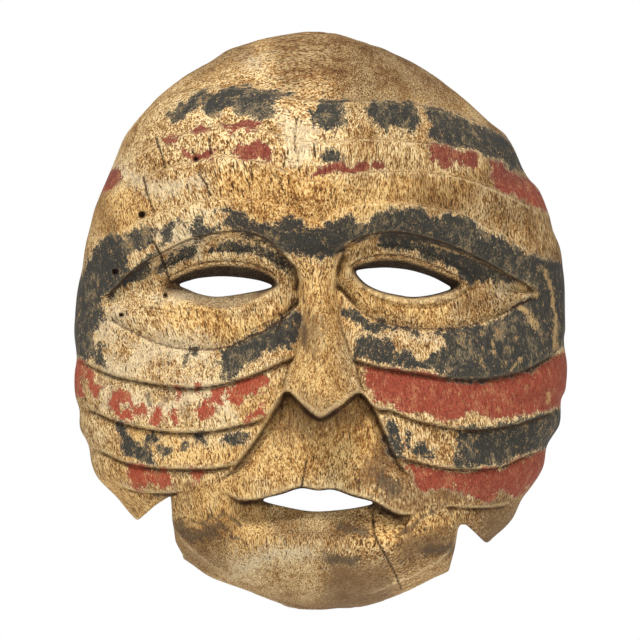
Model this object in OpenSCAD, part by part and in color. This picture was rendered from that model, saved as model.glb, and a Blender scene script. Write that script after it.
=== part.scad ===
// Carved wooden dance mask with stepped bands, hollow behind, on a ring hanger.
// +Z is up, the face looks towards -Y, and the rear rim lies in the plane Y = 0.
// The origin is at the middle of the rear opening.

/* [Face] */
// Depth of the side wall, from the rear rim to where the face starts to round off
side_wall = 20; // [14:1:26]
// How far each carved band stands over the next
band_relief = 2.2; // [1:0.1:3]
// Height of the nose tip over the face
nose_rise = 27; // [18:1:32]
// Power of the cross-section's curve: 2 is an ellipse, more is flatter in front
section_power = 2.5; // [2:0.1:3]

/* [Shell] */
// Width of the rear rim, which is also the thickness of the side wall
rim_width = 9; // [7:0.5:11]
// Thickness of the wood over the face
face_wood = 11; // [9:0.5:14]

/* [Eyes and mouth] */
// Width of each eye slot
eye_width = 38; // [32:1:42]
// Height of the left eye slot; the right one is a little higher
eye_height = 9.5; // [7:0.5:12]
// Width of the mouth slot
mouth_width = 44; // [36:1:50]
// Height of the mouth slot
mouth_height = 9.5; // [7:0.5:12]

/* [Tie holes] */
// Radius of the hole in each temple for the tie cord
tie_hole_r = 2; // [1.5:0.1:3]
// Distance of the tie holes in front of the rear rim
tie_hole_depth = 10; // [8:0.5:12]
// Height of the tie holes
tie_hole_z = 26; // [15:1:35]

/* [Hanger] */
// Width of the brass strap
strap_w = 9; // [8:0.5:10]
// Thickness of the strap's sheet
strap_t = 1; // [0.8:0.1:1.2]
// Radius of the ring's wire
wire_r = 1.1; // [0.9:0.1:1.3]
// Radius of the ring's bend, to the middle of the wire
ring_r = 6.6; // [6.4:0.1:7.5]
// Straight length of the ring's legs
ring_leg = 4; // [3:0.5:6]
// Height of the ring's hinge
hinge_z = 92.5; // [92:0.5:93]

/* [Hidden] */
$fn = 64;
// How far a cut runs past the surface it opens
overrun = 0.5;

top_z = 114.5;
bottom_z = -115;
// More than the mask's depth over the nose, for the cuts that go right through
mask_depth = 120;

// Half-widths of the outline by height, as [z, width]
left_outline = [
    [-115, 10], [-112.3, 18], [-107.4, 31], [-102.4, 44], [-96, 55], [-88, 66], [-79, 74], [-70.8, 81],
    [-63.7, 88.6], [-58, 91.2], [-43, 95.8], [-30, 97.6], [-3.6, 98.3], [7.6, 97.2], [21.8, 94.7],
    [39.7, 91.2], [52.6, 86.8], [66.2, 81.2], [76.8, 75.4], [91.8, 61.2], [104, 42.6], [108.2, 35.4],
    [112, 24], [114.5, 12]
];
right_outline = [
    [-115, 12], [-113.2, 21.7], [-108.2, 34], [-103.4, 44.6], [-99.2, 53], [-88.8, 67], [-80, 76.4],
    [-70.8, 81.4], [-60.2, 88.6], [-50.2, 90.4], [-32.3, 96], [-18, 98.4], [9, 97.8], [28.3, 95.7],
    [42.6, 91.4], [57.6, 82.8], [71.2, 75.7], [79.7, 67.2], [93.3, 51.4], [104, 34.3], [111, 17.6],
    [114.5, 6]
];

// Inner edges of the cheeks, which run up along the nose, as [z, x]
left_edge = [
    [-115, -5], [-107, -22], [-100, -40], [-92, -51], [-80, -58], [-70.3, -57], [-64, -46], [-57.6, -38.3],
    [-47.2, -25.4], [-39.4, -20.4], [-30.8, -14.5], [-24, -13.4], [-4, -8.6], [20, -8], [40, -14], [115, -4]
];
right_edge = [
    [-115, 6], [-107, 26], [-100, 42], [-92, 51], [-81.3, 54], [-72.3, 48.6], [-67.2, 40], [-60.8, 34.3],
    [-54, 29.6], [-43, 25], [-34, 20.7], [-28, 16.6], [-14, 12.8], [-4, 9], [20, 7], [40, 14], [115, 3]
];

// Depth of the face on the centre line, nose and lips aside, as [z, depth]
face_profile = [
    [-115, 32], [-110, 47], [-100, 61], [-88, 68], [-70, 71], [-45, 71], [-10, 68], [14, 67],
    [26, 72], [40, 77], [60, 78], [80, 72], [95, 60], [105, 46], [111, 34], [114.5, 24]
];

// Height of the nose's ridge as a share of its tip's, as [z, share]
nose_profile = [[-40, 1], [-20, 0.74], [0, 0.48], [18, 0.22], [30, 0]];

// Depth that the lips and jaw add to the face, above and below the mouth, as [z, depth]
muzzle_profile = [[-75, 1], [-66, 1], [-56, -3], [-44, -6], [-30, -7]];
jaw_profile = [[-115, 1], [-100, 3], [-88, 3], [-80, -3], [-66, -6]];

// Lines that part the carved bands, from the top of the mask to its foot, as [x, z] from left to right
band_lines = [
    [[-100, top_z], [100, top_z]],
    [[-66, 87], [-40, 92.5], [-27, 92.5], [0, 87], [21, 87], [40, 85], [64, 78.5], [78, 71]],
    [[-84, 61], [-68, 68], [-37, 77.5], [-5, 71], [5, 71], [18, 72], [45, 70], [64, 67], [75, 62.5],
        [86, 56]],
    [[-92, 46], [-70, 57], [-50, 63], [-40, 65], [-29, 64], [-15, 60], [-3, 55.4], [11, 58.3], [25, 59],
        [43, 58.5], [57, 56.5], [71, 51], [92, 41]],
    [[-97, 30], [-80, 35.5], [-61, 43.5], [-46, 47], [-29, 48], [-18, 46], [-2, 38.3], [7, 44], [25, 47],
        [39, 46], [50, 43.5], [64, 38.3], [75, 32.5], [86, 26], [98, 22]],
    [[-98, 6], [-89, 9], [-75, 19], [-64, 26], [-54, 31], [-45, 34], [-33, 35], [-22, 32.5], [-12, 23],
        [-5, 21], [2, 22], [6, 27], [14, 32], [21, 34.5], [32, 35], [43, 32.5], [64, 24], [86, 13], [98, 11]],
    [[-98, 1], [-89, 4], [-72, -6], [-61, -10], [-50, -11.6], [-36, -10.4], [-25, -5.8], [-15, 0.6], [-8, 8],
        [0, 9], [8, 11], [18, 2.6], [29, -1.6], [43, -3.5], [57, -2.4], [71, 2], [86, 9.5], [98, 7]],
    [[-98, -15], [-83, -21.6], [-72, -24], [-50, -26.6], [-40, -25.2], [-29, -22.3], [-11, -15], [0, -14],
        [13, -16], [36, -20.4], [61, -23.4], [71, -22.3], [82, -19.4], [91, -14.4], [99, -10]],
    [[-97, -33.5], [-83, -39.4], [-72, -42.3], [-50, -44.4], [-40, -43.2], [-21, -38], [-14, -29.5],
        [-0.4, -39], [16.5, -30], [21, -34], [29, -35.8], [46, -41.6], [61, -43.4], [82, -40], [98, -31]],
    [[-94, -50], [-79, -55.8], [-61, -58.7], [-50, -59], [-38, -57.6], [-20, -52], [0, -50], [18, -50],
        [30, -54], [50, -58.4], [61, -59], [71, -58], [82, -53.6], [94, -49]],
    [[-90, -63], [-80, -66], [-61, -68.7], [-54, -67.4], [-31, -72], [-8, -67], [6, -67.4], [31, -75],
        [50, -73.5], [61, -74.4], [71, -74], [86, -69]],
    [[-100, bottom_z], [100, bottom_z]]
];
// Rows of points in each band, and the bands that the brow, eyes, nose, lips and jaw take up
band_rows = [9, 3, 3, 3, 4, 7, 4, 4, 4, 3, 9];
brow_band = 4;
eye_band = 5;
nose_band = 7;
lip_band = 9;
jaw_band = 10;
// The height that each step between two bands takes up
ledge = 0.7;
// How far the lids lie behind the face
eye_sink = 1.5;

// Columns of the face: cheek or brow at the left, middle, and the same at the right
side_columns = 14;
middle_columns = 10;
// Share of the half-width that the middle columns may reach
middle_limit = 0.85;
LEFT = 0;
MIDDLE = 1;
RIGHT = 2;

function mix(a, b, t) = a + (b - a) * t;
function flat(rows) = [for (row = rows) each row];

function left_width(z) = lookup(z, left_outline);
function right_width(z) = lookup(z, right_outline);

// Superelliptic fall of the face from the centre line (0) to the outline (1)
function roundness(u) = sqrt(max(0, 1 - pow(abs(u), section_power)));

function line_z(k, x) = lookup(x, band_lines[k]);

// Height at fraction t of band k, which starts one ledge below its upper line
function band_z(k, t, x) = mix(line_z(k, x) - (k == 0 ? 0 : ledge), line_z(k + 1, x), t);

// x of a column, given as [zone, fraction of the zone], at height z
function column_x(column, z) =
    let (
        l = max(lookup(z, left_edge), -middle_limit * left_width(z)),
        r = min(lookup(z, right_edge), middle_limit * right_width(z)),
        f = column[1]
    )
    column[0] == LEFT ? mix(-left_width(z), l - ledge, 1 - cos(90 * f))
    : column[0] == MIDDLE ? mix(l, r, f)
    : mix(r + ledge, right_width(z), sin(90 * f));

// The x at which a column meets fraction t of band k, found by a few steps of iteration
function settle(k, t, column, x = 0, steps = 8) =
    steps == 0 ? x : settle(k, t, column, column_x(column, band_z(k, t, x)), steps - 1);

function at_outline(column) = column == columns[0] || column == columns[len(columns) - 1];

// What the bands, nose, lips and jaw add to the face's depth
function carving(k, t, column, z) =
    k == 0 || at_outline(column) ? 0
    : k < brow_band ? band_relief * (1 - t)
    : k == brow_band ? band_relief
    : column[0] == MIDDLE ? middle_carving(k, column, z)
    : k == eye_band ? -eye_sink
    : k == jaw_band ? 0
    : band_relief * t;

function middle_carving(k, column, z) =
    k <= nose_band ? nose_height(z) * (1 - abs(2 * column[1] - 1))
    : k <= lip_band ? lookup(z, muzzle_profile)
    : lookup(z, jaw_profile);

function nose_height(z) = nose_rise * lookup(z, nose_profile);

function face_depth(x, z) =
    let (u = x < 0 ? x / left_width(z) : x / right_width(z))
    side_wall + (lookup(z, face_profile) - side_wall) * roundness(u);

function face_point(k, t, column) =
    let (
        x = settle(k, t, column),
        z = band_z(k, t, x)
    )
    [x, -face_depth(x, z) - carving(k, t, column, z), z];

columns = [
    for (i = [0 : side_columns]) [LEFT, i / side_columns],
    for (i = [0 : middle_columns]) [MIDDLE, i / middle_columns],
    for (i = [0 : side_columns]) [RIGHT, i / side_columns]
];

// Rows are packed closer towards the top of the mask and its foot, as the face curves away faster there
top_packing = 1.7;
foot_packing = 1.5;

function row_fraction(k, i) =
    let (f = i / band_rows[k])
    k == 0 ? pow(f, top_packing) : k == jaw_band ? 1 - pow(1 - f, foot_packing) : f;

rows = [for (k = [0 : len(band_rows) - 1]) for (i = [0 : band_rows[k]]) [k, row_fraction(k, i)]];

// A closed solid from rings of points, each ring planar at the first and last, with triangles between
module loft(rings) {
    n = len(rings[0]);
    last = len(rings) - 1;
    sides = [
        for (r = [0 : last - 1]) for (c = [0 : n - 1])
            let (a = r * n + c, b = r * n + (c + 1) % n)
            each [[a, b, b + n], [a, b + n, a + n]]
    ];
    start = [for (c = [n - 1 : -1 : 0]) c];
    end = [for (c = [0 : n - 1]) last * n + c];
    polyhedron(flat(rings), concat(sides, [start, end]));
}

// One row of the face, closed across the plane of the rear rim
function face_ring(row) =
    let (
        points = [for (column = columns) face_point(row[0], row[1], column)],
        first = points[0],
        last = points[len(points) - 1]
    )
    concat([[first[0], 0, first[2]]], points, [[last[0], 0, last[2]]]);

module face_block() {
    loft([for (row = rows) face_ring(row)]);
}

// The hollow behind the face: the same outline and profile, drawn in by the wood's thickness
hollow_top = 90;
hollow_bottom = -103;
hollow_middle = (hollow_top + hollow_bottom) / 2;
hollow_half = (hollow_top - hollow_bottom) / 2;
hollow_rows = 16;
hollow_columns = 20;
// Depth of the hollow's own straight side, and its size at the flat ends as a share of its full size
hollow_wall = 6;
hollow_end = 0.35;
// Power of the curve that draws the hollow in towards those ends
hollow_power = 4;

function hollow_ring(z) =
    let (
        shrink = max(hollow_end, sqrt(1 - pow(abs(z - hollow_middle) / hollow_half, hollow_power))),
        left = (left_width(z) - rim_width) * shrink,
        right = (right_width(z) - rim_width) * shrink,
        deep = (lookup(z, face_profile) - face_wood) * shrink
    )
    concat(
        [[-left, overrun, z]],
        [for (i = [0 : hollow_columns])
            let (u = -cos(180 * i / hollow_columns))
            [u < 0 ? u * left : u * right, -mix(hollow_wall, deep, roundness(u)), z]],
        [[right, overrun, z]]
    );

module hollow() {
    loft([for (i = [0 : hollow_rows]) hollow_ring(hollow_middle + hollow_half * cos(180 * i / hollow_rows))]);
}

// A pointed oval between two equal arcs
module almond(width, height) {
    arc_r = (pow(width / 2, 2) + pow(height / 2, 2)) / height;
    intersection() {
        translate([0, height / 2 - arc_r]) circle(r = arc_r, $fn = 180);
        translate([0, arc_r - height / 2]) circle(r = arc_r, $fn = 180);
    }
}

// Puts a shape drawn in X and Z in the plane of the rear rim and cuts it forwards by some depth
module cut_from_rim(depth) {
    translate([0, overrun, 0]) rotate([90, 0, 0]) linear_extrude(depth + overrun) children();
}

// Centres of the eye slots and the mouth slot, as [x, z]
left_eye = [-37, 13.4];
right_eye = [33, 15];
right_eye_tilt = -8;
right_eye_extra = 1;
mouth = [-0.8, -71.7];

module slots() {
    translate(left_eye) almond(eye_width, eye_height);
    translate(right_eye) rotate(right_eye_tilt) almond(eye_width, eye_height + right_eye_extra);
    translate(mouth) almond(mouth_width, mouth_height);
}

// Gaps between the jaw and the flaps of the cheeks
module jaw_gaps() {
    polygon([[-59.6, -70.3], [-74.1, -79], [-90, -90], [-66, -110], [-55, -93.6], [-59, -80]]);
    polygon([[55, -81.3], [66.6, -88.8], [90, -100], [64, -116], [51.9, -99.2], [53.6, -91], [54, -82.4]]);
}

// Each starts outside the temple and ends in the hollow
tie_drill_x = 110;
tie_drill_length = 40;

module tie_holes() {
    for (side = [-1, 1])
        translate([side * tie_drill_x, -tie_hole_depth, tie_hole_z]) rotate([0, -side * 90, 0])
            cylinder(r = tie_hole_r, h = tie_drill_length);
}

// The hanger sits in a pocket, so that nothing stands out behind the rear rim
wire_clearance = 0.06;
roll_r = wire_r + wire_clearance + strap_t;
hanger_inset = 0.3;
pocket_depth = 2 * roll_r + hanger_inset;
pocket_gap = 0.8;
pocket_half = ring_r + wire_r + pocket_gap;
pocket_top = 110;
pocket_corner = 3;

// The pocket's outline, open below into the hollow
module hanger_pocket() {
    translate([-pocket_half, hollow_top - overrun])
        square([2 * pocket_half, pocket_top - pocket_corner - hollow_top + overrun]);
    translate([pocket_corner - pocket_half, hollow_top])
        square([2 * (pocket_half - pocket_corner), pocket_top - hollow_top]);
    for (side = [-1, 1])
        translate([side * (pocket_half - pocket_corner), pocket_top - pocket_corner])
            circle(r = pocket_corner);
}

screw_z = [98.5, 105.5];
screw_r = 1.5;
screw_depth = 9;
screw_clearance = 0.05;

module screw_holes() {
    for (z = screw_z)
        translate([0, z]) circle(r = screw_r + screw_clearance);
}

module carved_face() {
    color("burlywood") difference() {
        face_block();
        hollow();
        cut_from_rim(mask_depth) slots();
        cut_from_rim(mask_depth) jaw_gaps();
        cut_from_rim(pocket_depth) hanger_pocket();
        cut_from_rim(pocket_depth + screw_depth) screw_holes();
        tie_holes();
    }
}

// The strap lies on the pocket's floor, and its lower end is rolled round the ring's straight bar
strap_top = pocket_top - pocket_gap;

module strap_outline() {
    difference() {
        union() {
            translate([-strap_w / 2, hinge_z]) square([strap_w, strap_top - strap_w / 2 - hinge_z]);
            translate([0, strap_top - strap_w / 2]) circle(r = strap_w / 2);
        }
        screw_holes();
    }
}

// Puts its children on the ring's hinge line
module at_hinge() {
    translate([0, roll_r - pocket_depth, hinge_z]) children();
}

module bar(radius, length) {
    rotate([0, 90, 0]) cylinder(r = radius, h = length, center = true);
}

module hanger_strap() {
    color("goldenrod") difference() {
        union() {
            translate([0, strap_t - pocket_depth, 0]) rotate([90, 0, 0])
                linear_extrude(strap_t) strap_outline();
            at_hinge() bar(roll_r, strap_w);
        }
        at_hinge() bar(wire_r + wire_clearance, 2 * strap_w);
    }
}

// The D ring: a straight bar, two legs with rounded upper corners, and a half-round bend
module hanger_ring() {
    color("goldenrod") at_hinge() {
        bar(wire_r, 2 * ring_r);
        for (side = [-1, 1])
            translate([side * ring_r, 0, 0]) {
                sphere(r = wire_r);
                translate([0, 0, -ring_leg]) cylinder(r = wire_r, h = ring_leg);
            }
        translate([0, 0, -ring_leg]) rotate([90, 0, 0]) intersection() {
            rotate_extrude() translate([ring_r, 0]) circle(r = wire_r);
            translate([-2 * ring_r, -2 * ring_r, -ring_r]) cube([4 * ring_r, 2 * ring_r, 2 * ring_r]);
        }
    }
}

// Round heads with a driver slot across them
head_r = 2.6;
head_h = 1.3;
slot_w = 0.6;

module hanger_screws() {
    color("darkgoldenrod") for (z = screw_z)
        translate([0, strap_t - pocket_depth, z]) rotate([90, 0, 0]) difference() {
            union() {
                translate([0, 0, -head_h]) cylinder(r = head_r, h = head_h);
                cylinder(r = screw_r, h = screw_depth);
            }
            translate([-head_r, -slot_w / 2, -head_h - overrun])
                cube([2 * head_r, slot_w, head_h / 2 + overrun]);
        }
}

carved_face();
hanger_strap();
hanger_ring();
hanger_screws();
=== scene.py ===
"""A carved wooden dance mask with stepped bands, flaking paint and a brass ring hanger.

The face is carved as a solid field sampled on a grid: its depth is a function of x and z, cut by the
outline, the hollow and the eye and mouth slots. Shape numbers are millimetres in the CAD frame, where the
face looks towards -Y, and MM turns them into metres.
"""
import math

import bpy
import numpy as np
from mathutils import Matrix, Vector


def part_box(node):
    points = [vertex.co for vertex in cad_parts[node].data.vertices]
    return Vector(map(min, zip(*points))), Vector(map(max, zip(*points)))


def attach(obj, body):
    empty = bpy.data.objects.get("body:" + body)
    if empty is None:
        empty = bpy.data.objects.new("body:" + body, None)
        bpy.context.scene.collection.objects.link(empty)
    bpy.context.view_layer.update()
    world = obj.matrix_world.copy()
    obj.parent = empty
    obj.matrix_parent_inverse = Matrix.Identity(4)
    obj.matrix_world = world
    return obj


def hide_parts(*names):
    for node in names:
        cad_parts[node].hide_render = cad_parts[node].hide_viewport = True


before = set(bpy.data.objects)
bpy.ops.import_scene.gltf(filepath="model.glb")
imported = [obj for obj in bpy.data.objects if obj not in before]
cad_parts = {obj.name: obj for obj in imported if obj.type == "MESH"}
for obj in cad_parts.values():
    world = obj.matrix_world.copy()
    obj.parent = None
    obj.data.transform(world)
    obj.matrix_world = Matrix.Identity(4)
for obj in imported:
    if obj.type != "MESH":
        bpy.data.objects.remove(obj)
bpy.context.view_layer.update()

import openvdb

FACE_LOW, FACE_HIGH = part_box("carved_face")
FACE_HEIGHT = 229.5
MM = (FACE_HIGH.z - FACE_LOW.z) / FACE_HEIGHT

# ---------------------------------------------------------------- camera, light and floor

VIEW_WIDTH = 256 * MM
CAMERA_DISTANCE = 8.0
# Kept short enough that the camera looks over it
FLOOR_SIZE = 18
# The surround looks white, but lights the mask with this share of white
SKY_LIGHT = 0.5
WHITE = (1, 1, 1, 1)
FLOOR_GREY = (0.86, 0.86, 0.86, 1)
FLOOR_GLOW = 0.25
# The floor's depth below the mask's middle, as a multiple of the chin's
FLOOR_DROP = 2.5
# Area lights, as (name, place, size, watts)
LIGHTS = [("key", (-0.25, -0.75, 1.2), 0.4, 23), ("fill", (1.8, -2.2, 0.2), 1.6, 20)]


def make_camera():
    """A long lens level with the middle of the mask, straight in front of it."""
    data = bpy.data.cameras.new("camera")
    data.lens = data.sensor_width * CAMERA_DISTANCE / VIEW_WIDTH
    camera = bpy.data.objects.new("camera", data)
    camera.location = (0, -CAMERA_DISTANCE, 0)
    camera.rotation_euler = (math.pi / 2, 0, 0)
    bpy.context.collection.objects.link(camera)
    bpy.context.scene.camera = camera


def make_light(name, place, size, power):
    """An area light at place, aimed at the middle of the mask."""
    data = bpy.data.lights.new(name, "AREA")
    data.size = size
    data.energy = power
    light = bpy.data.objects.new(name, data)
    light.location = place
    towards = -light.location
    light.rotation_euler = towards.to_track_quat("-Z", "Y").to_euler()
    bpy.context.collection.objects.link(light)


def make_floor():
    """A pale floor well below the mask, which hangs."""
    bpy.ops.mesh.primitive_plane_add(size=FLOOR_SIZE, location=(0, 0, FLOOR_DROP * FACE_LOW.z))
    floor = bpy.context.object
    floor.name = "floor"
    material = bpy.data.materials.new("floor")
    material.use_nodes = True
    shader = material.node_tree.nodes["Principled BSDF"]
    shader.inputs["Base Color"].default_value = FLOOR_GREY
    shader.inputs["Roughness"].default_value = 0.9
    shader.inputs["Emission Color"].default_value = WHITE
    shader.inputs["Emission Strength"].default_value = FLOOR_GLOW
    floor.data.materials.append(material)


def make_studio():
    """A white surround, a key light above and in front, a wide fill from the right, and the floor."""
    world = bpy.data.worlds.new("studio")
    bpy.context.scene.world = world
    world.use_nodes = True
    tree = world.node_tree
    background = tree.nodes["Background"]
    background.inputs["Color"].default_value = WHITE
    seen = tree.nodes.new("ShaderNodeLightPath").outputs["Is Camera Ray"]
    strength = tree.nodes.new("ShaderNodeMapRange")
    strength.inputs["To Min"].default_value = SKY_LIGHT
    tree.links.new(seen, strength.inputs["Value"])
    tree.links.new(strength.outputs["Result"], background.inputs["Strength"])
    bpy.context.scene.view_settings.view_transform = "Standard"
    for light in LIGHTS:
        make_light(*light)
    make_floor()


make_camera()
make_studio()

# ---------------------------------------------------------------- small geometry tools


def smooth_line(points):
    """A smooth function through points, each (x, value), flat beyond its ends."""
    xs, values = np.array(sorted(points), float).T
    slopes = np.gradient(values, xs)

    def at(x):
        x = np.clip(x, xs[0], xs[-1])
        i = np.clip(np.searchsorted(xs, x) - 1, 0, len(xs) - 2)
        h = xs[i + 1] - xs[i]
        t = (x - xs[i]) / h
        ends = values[i] * (1 + 2 * t) * (1 - t) ** 2 + values[i + 1] * t * t * (3 - 2 * t)
        return ends + h * (slopes[i] * t * (1 - t) ** 2 - slopes[i + 1] * t * t * (1 - t))

    return at


def rise(x, start, end):
    """0 before start, 1 after end, smooth between them. start may be the larger."""
    t = np.clip((x - start) / (end - start), 0, 1)
    return t * t * (3 - 2 * t)


def mix(a, b, t):
    """a where t is 0 and b where it is 1."""
    return a + (b - a) * t


def bump(x, centre, width):
    """A bell curve, 1 at its centre."""
    return np.exp(-(((x - centre) / width) ** 2))


def smooth_min(a, b, radius):
    """The smaller of a and b, rounded off where they are within radius of each other."""
    h = np.clip(0.5 + 0.5 * (b - a) / radius, 0, 1)
    return mix(b, a, h) - radius * h * (1 - h)


def to_path(x, z, points):
    """Distance from (x, z) to an open path of straight stretches."""
    nearest = np.full(np.broadcast(x, z).shape, 1e9)
    for (ax, az), (bx, bz) in zip(points[:-1], points[1:]):
        dx, dz = bx - ax, bz - az
        t = np.clip(((x - ax) * dx + (z - az) * dz) / (dx * dx + dz * dz), 0, 1)
        nearest = np.minimum(nearest, np.hypot(x - ax - t * dx, z - az - t * dz))
    return nearest


def inside_outline(x, z, points):
    """Distance to a closed outline, positive inside it."""
    closed = points + points[:1]
    inside = np.zeros(np.broadcast(x, z).shape, bool)
    for (ax, az), (bx, bz) in zip(closed[:-1], closed[1:]):
        if az == bz:
            continue
        crosses = (az > z) != (bz > z)
        inside ^= crosses & (x < (bx - ax) * (z - az) / (bz - az) + ax)
    return to_path(x, z, closed) * np.where(inside, 1, -1)


def rounded(points, steps=6):
    """A closed smooth curve through points, as a finer list of points."""
    ring = np.array(points, float)
    before, after, beyond = np.roll(ring, 1, 0), np.roll(ring, -1, 0), np.roll(ring, -2, 0)
    fine = []
    for k in range(steps):
        t = k / steps
        a = 2 * ring + t * (after - before)
        b = t * t * (2 * before - 5 * ring + 4 * after - beyond)
        c = t**3 * (3 * ring - before - 3 * after + beyond)
        fine.append((a + b + c) / 2)
    return [tuple(p) for p in np.stack(fine, 1).reshape(-1, 2)]


def lattice_noise(x, y, z, size, seed):
    """Smooth noise from -1 to 1 whose lumps are about size across; size may be (sx, sy, sz)."""
    sx, sy, sz = size if isinstance(size, tuple) else (size,) * 3
    table = np.random.default_rng(seed).uniform(-1, 1, (32, 32, 32))
    cells, parts = [], []
    for value, scale in ((x, sx), (y, sy), (z, sz)):
        scaled = value / scale + 1000
        cell = np.floor(scaled).astype(int)
        part = scaled - cell
        cells.append(cell)
        parts.append(part * part * (3 - 2 * part))
    total = 0
    for corner in range(8):
        offsets = [(corner >> axis) & 1 for axis in range(3)]
        weight = 1
        for part, offset in zip(parts, offsets):
            weight = weight * (part if offset else 1 - part)
        i, j, k = ((cell + offset) % 32 for cell, offset in zip(cells, offsets))
        total = total + weight * table[i, j, k]
    return total


def flat_noise(x, z, size, seed):
    """Lattice noise that is the same at every depth; size may be (sx, sz)."""
    sx, sz = size if isinstance(size, tuple) else (size, size)
    return lattice_noise(x, 0 * x, z, (sx, 1, sz), seed)


# ---------------------------------------------------------------- the shape of the face

SIDE_WALL = 20
SECTION_POWER = 2.5
RIM_WIDTH = 9
FACE_WOOD = 11
BAND_RELIEF = 2.3
NOSE_RISE = 27
EYE_CUT = 5.5
LID_DROP = 2.8
BAG_RISE = 4.8
BEAD_RISE = 1.5
RECESS_RIM = 0.8
LID_GROOVE = 0.9
CORNER_DEPTH = 2.4
# The valley at each side of the nose
VALLEY_DEPTH, VALLEY_WIDTH = 1.3, 2.4
# How far down the lids' band the bag's curve is followed, short of its end, where the sine is 0
BAND_END = 0.9999
CRACK_DEPTH, CRACK_WIDTH = 0.9, 0.5
HOLE_DEPTH = 2.5

# Half-widths of the outline, as (z, width)
LEFT_SIDE = [
    (-115, 10), (-112.3, 18), (-107.4, 31), (-102.4, 44), (-96, 53.5), (-88, 66), (-79.4, 74), (-70.8, 81.2),
    (-63.7, 88.6), (-58, 91.2), (-50.2, 92.6), (-43, 95.8), (-35.8, 96.2), (-30, 97.6), (-21.6, 98),
    (-14.4, 97.2), (-3.6, 98.3), (7.6, 97.2), (21.8, 94.7), (32.6, 92.9), (39.7, 91.2), (52.6, 86.8),
    (66.2, 81.2), (76.8, 75.4), (91.8, 61.2), (104, 42.6), (108.2, 35.4), (112, 24), (114.6, 8),
]
RIGHT_SIDE = [
    (-115, 12), (-113.2, 21.7), (-108.2, 34), (-103.4, 44.6), (-99.2, 53), (-88.8, 67), (-80, 76.4),
    (-70.8, 81.4), (-60.2, 88.6), (-50.2, 90.4), (-41.6, 95.4), (-32.3, 96), (-27.2, 98.2), (-18, 98.4),
    (-8, 97.6), (-3, 98.2), (9, 97.8), (18.3, 97.2), (28.3, 95.7), (36.2, 92.8), (42.6, 91.4),
    (51.8, 87.8), (57.6, 82.8), (71.2, 75.7), (79.7, 67.2), (93.3, 51.4), (104, 34.3), (111, 17.6),
    (114.6, 4),
]
LEFT_GAP = [(-59.6, -70.3), (-66, -74.4), (-72, -79.4), (-90, -92), (-66, -110), (-54.6, -94), (-57.4, -88),
            (-58.8, -79)]
RIGHT_GAP = [(55, -83), (56, -81.4), (58, -81.6), (62, -85), (66.8, -89.4), (90, -102), (64, -116),
             (51.4, -99), (53.6, -91.1)]

# Inner edges of the cheeks, which run up along the nose, as (z, x)
LEFT_EDGE = [
    (-115, -5), (-107, -22), (-100, -40), (-92, -51), (-80, -60), (-70.3, -60), (-68, -53), (-66, -45),
    (-62.5, -38.5), (-58.5, -34), (-54, -30.5), (-47.2, -25.4), (-39.4, -20.4), (-30.8, -15), (-24, -13.4),
    (-14, -10.4), (-4, -8.6), (8, -8.4), (20, -9), (30, -12),
]
RIGHT_EDGE = [
    (-115, 6), (-107, 26), (-100, 42), (-92, 52), (-84, 55), (-78, 53.4), (-72.3, 48.6), (-67.2, 40),
    (-60.8, 34.3), (-54, 29.6), (-43, 25), (-34, 20.7), (-28, 16.6), (-14, 12.8), (-4, 9), (8, 7), (20, 6.4),
    (30, 10),
]

# Depth of the face on the centre line, nose and lips aside, as (z, depth)
FACE_PROFILE = [
    (-115, 32), (-110, 47), (-100, 61), (-88, 68), (-70, 71), (-45, 71), (-10, 68), (14, 67),
    (26, 72), (40, 77), (60, 78), (80, 72), (95, 60), (105, 46), (111, 34), (114.6, 24),
]

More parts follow.
